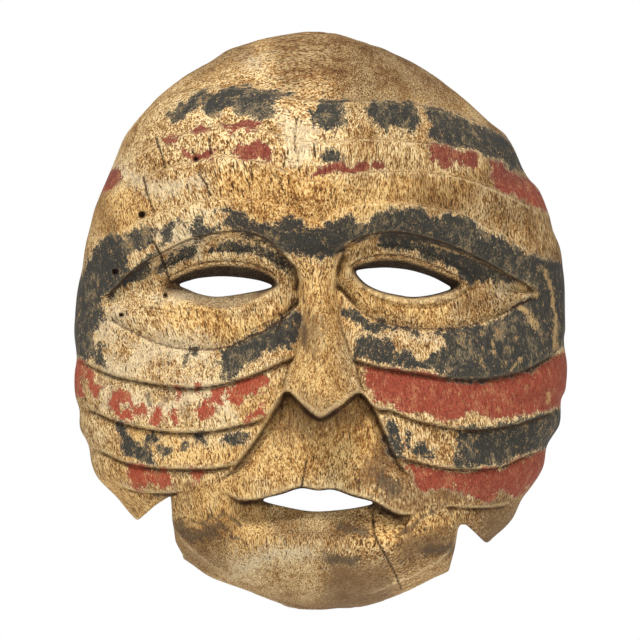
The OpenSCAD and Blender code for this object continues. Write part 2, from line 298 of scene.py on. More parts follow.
# Lines that part the carved bands, from the top of the mask to its foot, as (x, z)
LINES = {
    "hairline": [(-72, 82), (-62, 89), (-50, 91.4), (-39.7, 92.6), (-26.8, 92), (-14, 89), (0, 86.8),
                 (21.4, 87.2), (40, 85.2), (54.3, 81.8), (64.3, 78.3), (76, 71)],
    "forehead": [(-84, 60), (-68, 68.5), (-52, 74.5), (-37.2, 77.6), (-22, 75.4), (-5.2, 71), (5.4, 71),
                 (17.6, 72.2), (34, 71), (44.6, 70.2), (64, 67.2), (75, 62.6), (86, 55)],
    "crease": [(-91, 45), (-85.4, 49.7), (-69.7, 56.8), (-61.2, 60.4), (-50.4, 62.9), (-39.7, 65.1),
               (-29, 64), (-14.8, 59.7), (-4, 55.4), (1.2, 55.6), (10.7, 58.3), (25, 59), (42.8, 58.6),
               (57.2, 56.5), (71.4, 51.2), (82, 46.2), (92, 40)],
    "brow": [(-97, 28), (-89.7, 32.6), (-80.4, 35.4), (-71.8, 39.4), (-61.2, 43.3), (-46.8, 46.8),
             (-39.7, 48), (-29, 48), (-18.3, 46.2), (-11.2, 43.3), (-1.8, 38.3), (7.2, 44), (14.3, 45.8),
             (25, 46.8), (39.2, 45.8), (50, 43.6), (64.3, 38.3), (75, 32.6), (85.6, 26.2), (98, 22)],
    "lid": [(-98, 3), (-90, 7), (-83.3, 11.2), (-75.4, 19), (-64, 26.2), (-54, 31.2), (-44.8, 34),
            (-32.6, 35.2), (-21.8, 32.6), (-16.2, 28.4), (-11.8, 23.3), (-7, 20), (-3, 20), (2.2, 21.2),
            (6.4, 26.8), (14.3, 32), (21.4, 34.4), (32, 34.8), (42.8, 32.6), (53.6, 29), (64.3, 24),
            (77.8, 16.5), (86, 12.5), (98, 11)],
    "bag": [(-98, 0), (-90, 4), (-82.6, -0.2), (-71.8, -5.8), (-61.2, -10), (-49.7, -11.6), (-36.2, -10.4),
            (-25.4, -5.8), (-14.8, 0.6), (-9, 6), (-4, 9), (4, 12), (8, 12), (10.7, 9), (17.8, 2.6),
            (28.6, -1.6), (42.8, -3.5), (57.2, -2.4), (71.4, 2), (82, 7.5), (88, 9.5), (98, 7)],
    "cheek": [(-98, -15), (-91.2, -18), (-82.6, -21.6), (-71.8, -24), (-61.2, -25.8), (-50.4, -26.6),
              (-39.7, -25.2), (-29, -22.3), (-18.3, -18), (-11.2, -15.2), (0, -14), (13.2, -15.8),
              (25, -18.7), (35.6, -20.4), (50, -22.6), (60.7, -23.4), (71.4, -22.3), (82, -19.4),
              (91.4, -14.4), (98, -10.8)],
    "nostril": [(-96.5, -33.6), (-89.7, -36.2), (-82.6, -39.4), (-71.8, -42.3), (-61.2, -44), (-50.4, -44.4),
                (-39.7, -43.2), (-32.6, -41.6), (-25.4, -40), (-19, -36), (-14, -28.6), (-7, -33.4),
                (-0.4, -38.6), (8, -34), (16.8, -29.2), (21, -34), (28.6, -35.8), (35.6, -38.7),
                (46.4, -41.6), (60.7, -43.4), (71.4, -42.3), (82, -40), (91.4, -36.4), (98, -31)],
    "jowl": [(-93, -50), (-86.2, -52.3), (-79, -55.8), (-71.8, -57.6), (-61.2, -58.7), (-50.4, -59),
             (-43.3, -58.7), (-34, -57.4), (-15, -54), (10, -52), (29.6, -54), (39.2, -56.2), (50, -58.4),
             (60.7, -59), (71.4, -58), (82, -53.6), (92, -49.5)],
    "lip": [(-89, -63), (-80.4, -65.8), (-71.8, -68), (-61.2, -68.7), (-52, -68), (-42, -66.5), (-31, -71.6),
            (-22.8, -70.6), (-15, -68.4), (-7.7, -66.2), (-1, -67.2), (5.4, -66.8), (13, -69.4),
            (21.3, -71.8), (31, -77), (40, -76.4), (50, -74), (60.7, -74.4), (71.4, -74), (78.6, -72.3),
            (86, -69)],
}

EYES = {
    "left": {
        "slot": [(-56, 14), (-52, 15.6), (-48, 16.6), (-40, 17.3), (-32, 16.9), (-24, 15.6), (-19, 13.6),
                 (-22, 12.2), (-28, 11), (-36, 9.7), (-42, 9.3), (-48, 10.4), (-52, 12)],
        "recess": [(-64, 12.8), (-60, 15.8), (-52, 19.6), (-44, 21.7), (-36, 22.1), (-28, 21.2), (-22, 19.4),
                   (-17.4, 16.2), (-18, 13), (-22, 10), (-28, 6.8), (-36, 4.4), (-44, 4.8), (-52, 6.8),
                   (-60, 9.6)],
        "bead": [(-66, 17), (-56, 22.2), (-48, 24.8), (-40, 26), (-32, 26), (-26, 24.8), (-20, 22.6),
                 (-14, 19.6), (-11.6, 15), (-14, 10)],
    },
    "right": {
        "slot": [(14.3, 19), (16.8, 20.1), (22, 20.6), (28, 20.7), (36, 19.7), (44, 17.3), (49, 14.8),
                 (52, 12.8), (50, 11.6), (44, 10), (37, 9.2), (31, 10), (24, 11.6), (18, 14.6)],
        "recess": [(12.4, 20), (16, 22.5), (24, 24.3), (32, 24.1), (40, 22.1), (48, 18.9), (56, 15.4),
                   (54.4, 12.6), (51, 10.4), (44, 8.9), (37, 8.2), (31, 8.9), (24, 10.6), (17, 13.8)],
        "bead": [(10, 17.6), (10.6, 22), (14, 25), (20, 27.3), (28, 28), (36, 26.8), (44, 24.2), (52, 21),
                 (58, 17.2), (60, 14), (56.6, 10)],
    },
}
# The hollows between each eye and the nose
INNER_CORNERS = [[(-14, 27), (-11.5, 14), (-10.5, 4)], [(8, 28), (8.6, 17), (10.5, 6)]]
LOWER_LID = [(16, 12.2), (22, 8.4), (30, 5.9), (36, 5.2), (44, 5.1), (50, 6.7), (55, 9.2), (59, 12.4)]
MOUTH = [(-22.8, -71.6), (-15, -69.2), (-7.7, -66.9), (-1, -67.8), (5.4, -67.5), (13, -70.2), (21.3, -72.6),
         (14, -74.6), (5, -75.7), (-3, -76), (-12, -74.6)]
MOUTH_CORNERS = (-31, 32)

# Cracks, as (path, how far it gapes)
CRACKS = [
    ([(20.8, -76), (21.6, -84.6), (23.6, -89.6), (26.6, -94.4), (30, -101), (32.2, -107)], 1.0),
    ([(-5.2, -55.2), (-6.4, -61), (-7.4, -66.6)], 0.85),
    ([(-66.2, 31), (-63.3, 26.2), (-61.4, 20.6), (-59.4, 14.8)], 0.9),
    ([(-70.2, 57), (-68.6, 50), (-65.8, 42.6)], 0.9),
    ([(-65.2, 72.4), (-63, 66), (-61.6, 60.4)], 0.85),
    ([(-48.7, 58.6), (-45.2, 54), (-43.3, 49.4)], 0.9),
    ([(-44, 73.4), (-43.4, 66)], 0.8),
    ([(-19.3, 58.6), (-16, 54.6), (-13.6, 49.4)], 0.8),
    ([(-9.4, 80), (-10, 70), (-8.8, 62.6)], 0.85),
    ([(-14.6, 1), (-17, -4)], 0.8),
]
# Drilled peg holes and worm holes, as (x, z, radius)
HOLES = [(-70.6, 41.8, 1.3), (-81.4, 19.2, 1.1), (-79, 2, 0.8), (-61.4, 9.6, 0.8), (-49.2, 63.6, 0.8)]

# Unevenness of the carved surface, as (size of its lumps, height, seed)
KNIFE_WORK = [((12, 8), 0.5, 1), ((5, 7), 0.22, 6), ((1.5, 7), 0.2, 2)]

left_width, right_width = smooth_line(LEFT_SIDE), smooth_line(RIGHT_SIDE)
left_edge, right_edge = smooth_line(LEFT_EDGE), smooth_line(RIGHT_EDGE)
face_profile = smooth_line(FACE_PROFILE)
line = {name: smooth_line(points) for name, points in LINES.items()}
OUTLINE = rounded([(-w, z) for z, w in LEFT_SIDE] + [(w, z) for z, w in reversed(RIGHT_SIDE)])


def share(x, left, right):
    """x as a share of the half-width on its side, from -1 at the left to 1 at the right."""
    return np.clip(np.where(x < 0, x / left, x / right), -1, 1)


def across(x, z):
    """How far x is from the centre line to the outline."""
    return share(x, left_width(z), right_width(z))


def roundness(u):
    """A section's height at share u of its half-width, 1 in the middle and 0 at the edge."""
    return np.sqrt(1 - np.abs(u) ** SECTION_POWER)


def in_band(x, z, upper, lower):
    """How far z is down a band, 0 at its upper line and 1 at its lower one."""
    top = line[upper](x)
    return (top - z) / (top - line[lower](x))


def middle(x, z):
    """1 between the inner edges of the cheeks, which run up beside the nose, and 0 on the cheeks."""
    soft = 0.9
    return rise(x - left_edge(z), -soft, soft) * rise(right_edge(z) - x, -soft, soft)


def forehead_relief(x, z):
    """Bands that stand out most at their upper edge."""
    relief = 0.0
    names = ["hairline", "forehead", "crease", "brow"]
    for upper, lower in zip(names, names[1:] + ["lid"]):
        t = np.clip(in_band(x, z, upper, lower), 0, 1)
        fall = 0.35 if upper == "brow" else 1.0
        below = rise(line[upper](x) - z, -0.9, 1.1)
        relief = mix(relief, BAND_RELIEF * (1 - fall * t), below)
    return relief


def cheek_relief(x, z):
    """Bands that stand out most at their lower edge, each over a fine cut."""
    relief = 0.0
    names = ["bag", "cheek", "nostril", "jowl", "lip"]
    for upper, lower in zip(names, names[1:] + [None]):
        t = np.clip(in_band(x, z, upper, lower), 0, 1) if lower else 0.2
        drop = line[upper](x) - z
        relief = mix(relief, BAND_RELIEF * t**1.2, rise(drop, -0.5, 0.7))
        cut = 1 - beyond_eyes(x) if upper == "bag" else 1.0
        relief = relief - cut * bump(drop, 0.8, 0.7)
    return relief


def beyond_eyes(x):
    """1 past the almonds' outer tips, where the lid and the bag melt into the side of the face."""
    return rise(np.abs(x), 82, 91)


def eye_relief(x, z):
    """The lids' sunk band, the rounded bags under the eyes, the beads and the lower lid's groove."""
    t = np.clip(in_band(x, z, "lid", "bag"), 0, BAND_END)
    relief = -LID_DROP * rise(t, 0, 0.06) + BAG_RISE * np.sin(np.pi * t) ** 0.8 * rise(t, 0.25, 0.95)
    relief = relief * (1 - beyond_eyes(x))
    for eye in EYES.values():
        relief = relief + BEAD_RISE * rise(to_path(x, z, eye["bead"]), 2.6, 0.6) * rise(z, 8, 16)
        edge = inside_outline(x, z, rounded(eye["recess"], 3))
        relief = relief + RECESS_RIM * bump(edge, -1.6, 1.4)
    relief = relief - LID_GROOVE * bump(to_path(x, z, LOWER_LID), 0, 0.8)
    for corner in INNER_CORNERS:
        relief = relief - CORNER_DEPTH * bump(to_path(x, z, corner), 0, 3.5)
    return relief


def nose_relief(x, z):
    """A wedge whose ridge rises towards its tip, with a step down its sides."""
    left, right = left_edge(z), right_edge(z)
    half = np.maximum((right - left) / 2, 1)
    off = np.abs(x - (left + right) / 2) / half
    height = smooth_line([(-42, 1.04), (-20, 0.72), (0, 0.46), (18, 0.2), (27, 0.04), (34, 0)])(z)
    foot = mix(0.06, 0.24, rise(z, -8, -28))
    wedge = np.clip(1 - 0.92 * np.sqrt(off**2 + 0.02), foot, 1)
    return NOSE_RISE * height * wedge


def muzzle_relief(x, z):
    """From under the nose down to the upper lip, lowest beside the cheeks."""
    relief = smooth_line([(-78, 1.6), (-72, 2.2), (-66, 1.8), (-56, -1), (-44, -3), (-28, -4.5)])(z)
    beside = np.minimum(x - left_edge(z), right_edge(z) - x)
    return relief - 2.2 * rise(beside, 7, 0) * rise(z, -68, -60)


def jaw_relief(x, z):
    """From the mouth's floor out to the chin."""
    mouth = smooth_line([(-115, 0), (-100, 3.5), (-92, 4.6), (-88, 4), (-82, -1.5), (-76, -7), (-66, -8)])(z)
    cheek = smooth_line([(-115, 0), (-100, 3), (-88, 2.6), (-76, 2), (-66, 1.6)])(z)
    left, right = MOUTH_CORNERS
    beside = rise(x, left - 8, left + 3) * rise(x, right + 8, right - 3)
    return mix(cheek, mouth, beside)


def eye_depth(x, z):
    """How far the wood is cut back around each eye slot. It leaves a thin edge at the slot."""
    depth = 0.0
    for eye in EYES.values():
        outer = inside_outline(x, z, rounded(eye["recess"], 3))
        inner = inside_outline(x, z, rounded(eye["slot"], 3))
        part = np.clip(outer / np.maximum(outer - inner, 0.5), 0, 1)
        depth = depth + np.where(outer > 0, EYE_CUT * part, 0)
    return depth


def depth_without_cuts(x, z):
    """The depth with bands, nose and mouth, before the eyes' recesses and the finer marks."""
    base = SIDE_WALL + (face_profile(z) - SIDE_WALL) * roundness(across(x, z))
    soft = mix(0.6, 8, beyond_eyes(x))
    below_lid = rise(line["lid"](x) - z, -soft, soft)
    below_bag = rise(line["bag"](x) - z, -soft, soft)
    side = mix(forehead_relief(x, z), eye_relief(x, z), below_lid)
    side = mix(side, cheek_relief(x, z), below_bag)
    below_nose = rise(line["nostril"](x) - z, -0.4, 0.5)
    below_lip = rise(line["lip"](x) - z, -0.3, 0.3)
    centre = mix(nose_relief(x, z), muzzle_relief(x, z), below_nose)
    centre = mix(centre, jaw_relief(x, z), below_lip)
    relief = mix(side, centre, middle(x, z) * rise(z, 31, 22))
    beside_nose = np.minimum(np.abs(x - left_edge(z)), np.abs(x - right_edge(z)))
    valley = bump(beside_nose, 0, VALLEY_WIDTH) * rise(z, 24, 12) * rise(z, -34, -26)
    relief = relief - VALLEY_DEPTH * valley
    return base + relief * rise(1 - np.abs(across(x, z)), 0, 0.015)


def face_depth(x, z):
    """Distance from the rear rim's plane to the front of the face."""
    depth = depth_without_cuts(x, z) - eye_depth(x, z)
    for size, height, seed in KNIFE_WORK:
        depth = depth + height * flat_noise(x, z, size, seed)
    for crack, gape in CRACKS:
        depth = depth - CRACK_DEPTH * gape * bump(to_path(x, z, crack), 0, CRACK_WIDTH)
    for hole_x, hole_z, radius in HOLES:
        depth = depth - HOLE_DEPTH * rise(np.hypot(x - hole_x, z - hole_z), radius + 0.5, radius - 0.4)
    return depth


HOLLOW_TOP, HOLLOW_BOTTOM, HOLLOW_WALL, HOLLOW_END = 90, -103, 6, 0.35
# The gouge's scoops in the hollow, and how far each lane's strokes are shifted against the last
GOUGE_DEPTH, GOUGE_LANE, GOUGE_STROKE, GOUGE_SHIFT = 1.1, 9.0, 24, 9
TIE_HOLE = {"depth": 10, "z": 26, "radius": 2}
POCKET = {"half": 8.5, "top": 110, "depth": 4.62}


def hollow_size(z):
    """Half-widths to the left and right, and the depth, of the hollow at height z."""
    middle_z, half = (HOLLOW_TOP + HOLLOW_BOTTOM) / 2, (HOLLOW_TOP - HOLLOW_BOTTOM) / 2
    shrink = np.maximum(HOLLOW_END, np.sqrt(np.clip(1 - np.abs((z - middle_z) / half) ** 4, 0, 1)))
    left = (left_width(z) - RIM_WIDTH) * shrink
    right = (right_width(z) - RIM_WIDTH) * shrink
    return left, right, (face_profile(z) - FACE_WOOD) * shrink


# ---------------------------------------------------------------- carving the solid

GRID = 0.65
REACH = 2.0
LOW_CORNER = np.array([-100.4, -101.4, -117.2])
HIGH_CORNER = np.array([100.4, 2.6, 117.2])
XS, YS, ZS = (np.arange(low, high, GRID) for low, high in zip(LOW_CORNER, HIGH_CORNER))
FLAT_X, FLAT_Z = np.meshgrid(XS, ZS, indexing="ij")


def sample(values, x, z):
    """Values given on the flat grid, read between its points."""
    i, j = (x - XS[0]) / GRID, (z - ZS[0]) / GRID
    i0 = np.clip(i.astype(int), 0, len(XS) - 2)
    j0 = np.clip(j.astype(int), 0, len(ZS) - 2)
    s, t = i - i0, j - j0
    near = mix(values[i0, j0], values[i0 + 1, j0], s)
    far = mix(values[i0, j0 + 1], values[i0 + 1, j0 + 1], s)
    return mix(near, far, t)


def blurred(values, radius):
    """Flat grid values averaged over a bell curve of the given radius."""
    reach = int(3 * radius / GRID)
    weights = np.exp(-((np.arange(-reach, reach + 1) * GRID / radius) ** 2))
    weights /= weights.sum()
    for axis in (0, 1):
        values = sum(w * np.roll(values, k - reach, axis) for k, w in enumerate(weights))
    return values


def height_gap(depth, d):
    """Roughly the distance from depth d to a surface of that depth over x and z, positive behind it."""
    slope_x, slope_z = np.gradient(depth, GRID)
    steep = np.sqrt(1 + slope_x**2 + slope_z**2)
    return (depth[:, None, :] - d) / steep[:, None, :]


def solid_field(depth):
    """Distance into the wood on the grid, positive inside it, for a face of the given depth."""
    x, z = FLAT_X, FLAT_Z
    d = -YS[None, :, None]
    edge = inside_outline(x, z, OUTLINE)
    for gap in (LEFT_GAP, RIGHT_GAP):
        edge = smooth_min(edge, -inside_outline(x, z, gap), 1.5)
    edge = edge + 0.35 * flat_noise(x, z, 9, 3)
    solid = smooth_min(height_gap(depth, d), edge[:, None, :], 1.6)
    solid = smooth_min(solid, d + 0 * solid, 1.2)

    left, right, deep = hollow_size(z)
    hollow_depth = mix(HOLLOW_WALL, deep, roundness(share(x, left, right))) + gouge_marks(x, z)
    beside = np.minimum(np.minimum(x + left, right - x), np.minimum(HOLLOW_TOP - z, z - HOLLOW_BOTTOM))
    hollow = smooth_min(height_gap(hollow_depth, d), beside[:, None, :] + 0 * d, 4)
    solid = smooth_min(solid, -hollow, 1.0)

    for outline in [eye["slot"] for eye in EYES.values()] + [MOUTH]:
        slot = inside_outline(x, z, rounded(outline, 4))
        solid = smooth_min(solid, -slot[:, None, :] + 0 * d, 0.8)
    pocket = np.minimum(POCKET["half"] - np.abs(x), np.minimum(POCKET["top"] - z, z - HOLLOW_TOP + 4))
    solid = smooth_min(solid, np.maximum(d - POCKET["depth"], -pocket[:, None, :]), 0.5)
    tie = np.hypot(d - TIE_HOLE["depth"], z[:, None, :] - TIE_HOLE["z"]) - TIE_HOLE["radius"]
    return np.where(np.abs(x[:, None, :]) > 70, np.minimum(solid, tie), solid)


def gouge_marks(x, z):
    """Scoops left by a gouge worked up and down the hollow."""
    place = x + 3 * flat_noise(x, z, (GOUGE_LANE, 26), 11)
    along = z + GOUGE_SHIFT * np.floor(place / GOUGE_LANE)
    scoop = 0.5 - 0.5 * np.cos(2 * np.pi * place / GOUGE_LANE)
    stroke = 0.5 - 0.5 * np.cos(2 * np.pi * along / GOUGE_STROKE)
    return GOUGE_DEPTH * scoop * (0.25 + 0.75 * stroke) + 0.4 * flat_noise(x, z, (13, 8), 4)


def roughen(points):
    """Knife marks on the side walls, which the depth of the face can't show."""
    x, y, z = points.T
    push = 0.3 * lattice_noise(x, y, z, (6, 6, 14), 5) * rise(-y, 30, 18) * rise(-y, 0.8, 2)
    length = np.maximum(np.hypot(x, z), 1)
    return points + np.stack([push * x / length, 0 * y, push * z / length], 1)


def carve_face(depth):
    """The field's surface as a mesh, with its vertices in millimetres."""
    field = np.clip(solid_field(depth), -REACH, REACH).astype(np.float32)
    grid = openvdb.FloatGrid(REACH)
    grid.copyFromArray(-field)
    points, quads = grid.convertToQuads(0)
    points = points.astype(float) * GRID + LOW_CORNER
    return roughen(points), quads


# ---------------------------------------------------------------- paint, dirt, weathering and painted shade

# How thickly paint lies on its outline, and how far in or out of it that changes by 1
PAINT_AT_EDGE, PAINT_FADE = 0.68, 5
# Wood this little in front of the hollow's surface is still coloured as the hollow
HOLLOW_MARGIN = 1.8

# Outlines of the paint that is left, as (x, z)
BLACK_PATCHES = [
    # hairline
    [(-59.9, 82.6), (-55.8, 86.1), (-46.8, 89.5), (-38.6, 90.9), (-29.6, 92.2), (-22.7, 90.6), (-12.4, 89.2),
     (-18.6, 86.8), (-20.7, 83.3), (-19.3, 80.9), (-25.5, 79.9), (-31, 81.3), (-35.1, 84), (-38.6, 84),
     (-41.3, 80.6), (-44.8, 82), (-46.8, 84.7), (-51.7, 83.3), (-57.2, 79.9)],
    [(-4.8, 81), (-0.7, 81.4), (1.5, 86.5), (10, 86.8), (9, 78), (1.4, 75.4), (-1.4, 77.8)],
    [(1.5, 62), (3.5, 66), (7, 66.5), (6.5, 62)],
    [(18, 84), (23, 86.4), (31, 86), (36, 85.4), (39, 80), (36, 73.6), (30, 76.4), (25, 73.6), (21, 78.6)],
    [(42, 85), (54, 81), (66, 77), (80, 67), (86, 58), (78, 59.5), (64, 67), (50, 70.4), (43, 72.4),
     (45, 78)],
    # brow and lid, left
    [(-85.4, 32.4), (-79.9, 33), (-76.4, 31.7), (-73.7, 34.4), (-66.8, 35.8), (-68.9, 29.6), (-74.4, 28.2),
     (-77.1, 24.8), (-76.4, 21.3), (-79.9, 17.9), (-83.3, 13.1), (-87.5, 7.6), (-87.1, -0.4), (-90.9, -5.9),
     (-90.6, -13.5), (-93, -15.8), (-104, -12), (-104, 11), (-94.4, 19.3), (-90.2, 26.9)],
    [(-83.3, 13.8), (-76.4, 20), (-66.1, 25.5), (-68.9, 19.3), (-75.1, 15.1), (-82.6, 9.6)],
    [(-62, 35.1), (-56.5, 40.3), (-57.2, 36.5), (-59.9, 31), (-62.7, 28.9)],
    [(-51, 39.9), (-47.2, 41.3), (-46.1, 37.2), (-41.3, 36.8), (-37.9, 37.9), (-37.2, 41.3), (-41.3, 42.7),
     (-37.9, 44.1), (-29.6, 43.4), (-25.5, 38.6), (-21.3, 39.3), (-14.5, 38.6), (-7.6, 39.3), (-4.8, 35.8),
     (3.5, 35.8), (4, 26.9), (0, 23.6), (-4.8, 24.8), (-8.9, 26.9), (-15.1, 28.2), (-21.3, 32.4),
     (-26.9, 34.6), (-35.1, 35.8), (-44.1, 35.1), (-48.9, 33)],
    [(-65.4, 19.3), (-59.9, 24.8), (-55.8, 26.9), (-49.6, 30.3), (-49.6, 27.5), (-59.2, 22.6)],
    [(-43.4, 28.2), (-36.5, 31), (-29.6, 30.3), (-21.3, 28.2), (-13.8, 22.7), (-11.7, 18.6), (-19.3, 24.2),
     (-26.9, 27.6), (-37.9, 27.6)],
    # brow, lid and side, right
    [(0, 25), (2, 38.8), (9, 39.8), (13.1, 39.5), (16.5, 37.4), (20.7, 37.1), (22, 41.5), (24.8, 43.2),
     (33, 44), (39.3, 43), (43.4, 39.5), (48.2, 42), (57.9, 39.8), (62, 36.7), (68.9, 33.3), (77.8, 28.4),
     (82.7, 25), (88.9, 24.7), (104, 20), (104, -8), (94.4, -10.8), (91.6, -13.6), (86.1, -17.6), (75.8, -22),
     (62, -23.8), (50, -22.8), (48.8, -10), (49.6, -4.6), (57, -3.6), (71, 0.6), (79, 5.6), (85.6, 8.6),
     (85.4, 12.2), (77.8, 16.2), (68, 15.6), (59, 16), (52.3, 20.6), (44.1, 25), (37.9, 27.8), (29.6, 28.6),
     (24.6, 28.8), (24.6, 34.4), (20, 33.4), (10, 29.6), (5, 25.4)],
    # under the eyes
    [(-8.8, 3.7), (-8.9, -4.5), (-11, -10.7), (-15.8, -10), (-22, -11.4), (-25.5, -15.6), (-29.6, -18.3),
     (-33, -22.4), (-37.9, -22.4), (-38.9, -18.3), (-39.3, -14.2), (-37.9, -11.4), (-28.2, -7),
     (-17.9, -1.4)],
    [(-87.8, -10.7), (-85.7, -11.1), (-87.5, -13.5), (-84, -18), (-89.9, -16.2)],
    [(-51.8, -12.2), (-48.6, -12.2), (-49.6, -14.2)],
    [(-54, -15.8), (-51.8, -16.2), (-52.6, -18)],
    [(9.6, 5.4), (13.8, 3.9), (20.7, -0.3), (28.9, -2.3), (38.6, -4.2), (37.9, -7.6), (32.4, -5.3),
     (26.2, -4.6), (22.7, -6), (17.9, -4.6), (13.8, -1.2), (10.3, 1.6)],
    [(13.8, -7), (20, -6.7), (26.2, -8), (28.9, -11.5), (34.4, -12.9), (37.2, -16.3), (42.7, -17),
     (44.1, -11.5), (50, -10), (52, -21), (26.2, -18.4), (15.1, -15.4), (13, -12.9)],
    [(43, -4), (51, -3.6), (51, -7), (46, -6.4)],
    # beside the mouth
    [(-79.9, -41), (-77.1, -41), (-75.8, -46.5), (-73, -50), (-67.5, -50), (-66.1, -56.9), (-71.6, -55.8),
     (-77.8, -52.7), (-78.2, -48.6)],
    [(-68.5, -46.5), (-65.4, -44.5), (-63.4, -46.5), (-66.1, -47.9)],
    [(-62.8, -50.6), (-60, -51), (-61, -54)],
    [(-55.6, -48.6), (-53, -49.6), (-54.6, -52)],
    [(-49.2, -45), (-46.8, -45.2), (-46.5, -48.8), (-48.4, -48.4)],
    [(-37.9, -46.9), (-33, -43.8), (-28.2, -45.2), (-29.6, -47.9), (-33.7, -48.8)],
    [(25.8, -40.2), (30.3, -42.4), (33, -52.9), (29.6, -53.4), (25.8, -46.7)],
    [(34.4, -49.3), (41.3, -49.3), (44.8, -52.2), (44.1, -55.2), (37.2, -52.9)],
    [(33, -42.6), (37, -44), (35, -48)],
    [(55.1, -48.1), (56, -44), (68.9, -42.7), (82.7, -39.4), (104, -32), (104, -46), (82.7, -52.4),
     (72.3, -56.6), (58.5, -57.4), (52.3, -57.4), (55.1, -53)],
]
RED_PATCHES = [
    # forehead
    [(-34.4, 65.4), (-30.3, 69.6), (-21.3, 68.9), (-18.6, 65.4), (-20, 62), (-26.9, 63.4)],
    [(-39.3, 77.1), (-24.8, 77.5), (-25.5, 74.8), (-35.8, 74.8)],
    [(-49.6, 74.7), (-46.1, 76.1), (-45.5, 74.7), (-48, 73.6)],
    [(-62.3, 72), (-57.9, 72.6), (-57.9, 70.2), (-61.3, 70.2)],
    [(-55.8, 68.4), (-50, 66.4), (-44, 66.8), (-44.4, 64.6), (-51.7, 64.6)],
    [(-78.5, 60.6), (-78.9, 55.8), (-86.1, 51.6), (-90, 56), (-84.7, 60)],
    [(-4.1, 56.6), (-2, 59.9), (6, 62.6), (16, 61.4), (24, 62.4), (27, 59.2), (12, 58.4)],
    [(44, 68.4), (52, 68.6), (62, 66), (63, 61), (58, 59), (54, 62.6), (50, 60.6), (44, 64)],
    [(67, 65.4), (75, 61.4), (84, 55), (94, 42), (86, 44.6), (78, 48.6), (70, 53), (68, 58)],
    # cheeks
    [(-104, -15.5), (-93.6, -17), (-95.4, -24), (-95.4, -29.3), (-104, -28.6)],
    [(-92.3, -19.7), (-89.2, -21), (-89.5, -24.5), (-87.5, -26.6), (-88.8, -29.3), (-90.2, -26.6),
     (-92.6, -22.4)],
    [(-82.6, -28.6), (-79.9, -28), (-75.1, -29.3), (-75.1, -32.1), (-79.9, -33), (-78.5, -35.5),
     (-74.4, -36.2), (-75.8, -40.4), (-78.5, -39), (-80.6, -36.2), (-83.7, -33.5)],
    [(-73.7, -34.2), (-70.9, -33.5), (-70.9, -37.6), (-73.4, -36.2)],
    [(-66.5, -35.5), (-64, -35.5), (-63.4, -41.4), (-66.8, -41)],
    [(-59.2, -38.3), (-56.5, -36.2), (-56.1, -40.3), (-58.2, -41.7)],
    [(-47.5, -32.8), (-45.5, -32.4), (-42.7, -36.2), (-44.8, -39), (-48.2, -36.9)],
    [(-41.3, -27.3), (-38.6, -26.6), (-39.3, -32.8), (-43.4, -33.5)],
    [(-49.6, -25.9), (-47.5, -26.6), (-48.9, -29.3)],
    [(-57.5, -26.6), (-55.8, -26.6), (-56.5, -30.4)],
    [(-36.2, -26.6), (-29.6, -24.5), (-20.7, -23.1), (-24.1, -27.3), (-29.6, -30.7), (-32.4, -34.1),
     (-35.1, -30.7)],
    [(-29.6, -39.3), (-22.7, -34.8), (-22, -36.9), (-26.9, -39.5)],
    [(17.4, -18.5), (36, -21), (60, -24), (80, -20.5), (92, -15.5), (104, -12), (104, -30), (90, -34.8),
     (79, -37.6), (70, -39), (62, -35.9), (58.5, -36.7), (52.3, -40.4), (44.1, -37.6), (33, -35.2),
     (21.8, -32)],
    [(-76.1, -58.2), (-68.9, -58.9), (-70.2, -65.1), (-73, -66.5), (-76.8, -62.4)],
    [(-67.5, -58.9), (-62.3, -59.3), (-59.2, -67.2), (-62.7, -67.9), (-66.1, -65.1), (-67.8, -62.4)],
    [(-50.3, -59.6), (-47.5, -59.6), (-48.9, -63.6)],
    [(33.6, -57.4), (41.3, -59), (58.5, -60), (72.3, -58.6), (86, -53), (104, -46), (92, -58.4), (82.7, -67),
     (77, -69), (72, -66.6), (66, -72.2), (57, -69.6), (48, -66.4), (41.3, -66.7), (38, -63)],
]
# Where paint lies thin, so that more of it has gone, as (from x, to x, from z, to z)
THIN_PAINT = [(18, 40, 70, 86), (-100, 100, 52, 64), (-44, -24, 34, 45), (12, 50, -22, 4),
              (36, 62, -76, -64), (40, 56, 60, 70), (34, 58, -56, -42)]
# Weathering by place, as (from x, to x, from z, to z)
CREAM_PATCHES = [
    (-86, -42, -24, -8), (-90, -30, -38, -22), (-84, -44, 46, 60), (-22, 4, 58, 84), (-62, -46, 24, 42),
    (-72, -40, 6, 14), (24, 50, -14, -6), (-90, -72, -12, 4), (70, 90, 6, 16), (-36, -2, -101, -88),
    (-34, -20, 96, 108), (-66, -50, 2, 12),
]
GOLD_PATCHES = [
    (-14, 14, -34, 24), (-32, 28, -68, -30), (-56, -22, -90, -68), (-62, -16, -8, 5), (12, 48, -2, 11),
    (-44, 60, 44, 60), (18, 50, -90, -76), (-80, -28, -58, -44), (-96, -56, -86, -58), (-36, 10, 30, 48),
    (-96, -70, 34, 48),
]
GREY_PATCHES = [
    (-18, 60, 88, 120), (34, 86, 40, 60), (60, 104, 46, 100), (22, 34, -68, -50), (2, 34, -120, -98),
    (54, 104, -96, -74), (-60, -34, -96, -80), (84, 104, 16, 44), (-60, -24, 100, 120), (-34, 4, -120, -108),
    (54, 84, 0, 14), (36, 56, -104, -84), (-104, -80, 36, 50), (-22, 22, -86, -77),
]
BROWN_PATCHES = [
    (-2, 36, -116, -93), (60, 98, -96, -70), (36, 58, -98, -82), (18, 32, -70, -56),
    (26, 60, -74, -62), (-16, 16, -44, -34), (12, 30, -40, -30), (-12, 6, -10, 2), (-100, -84, 44, 60),
    (-64, -52, -76, -68),
]
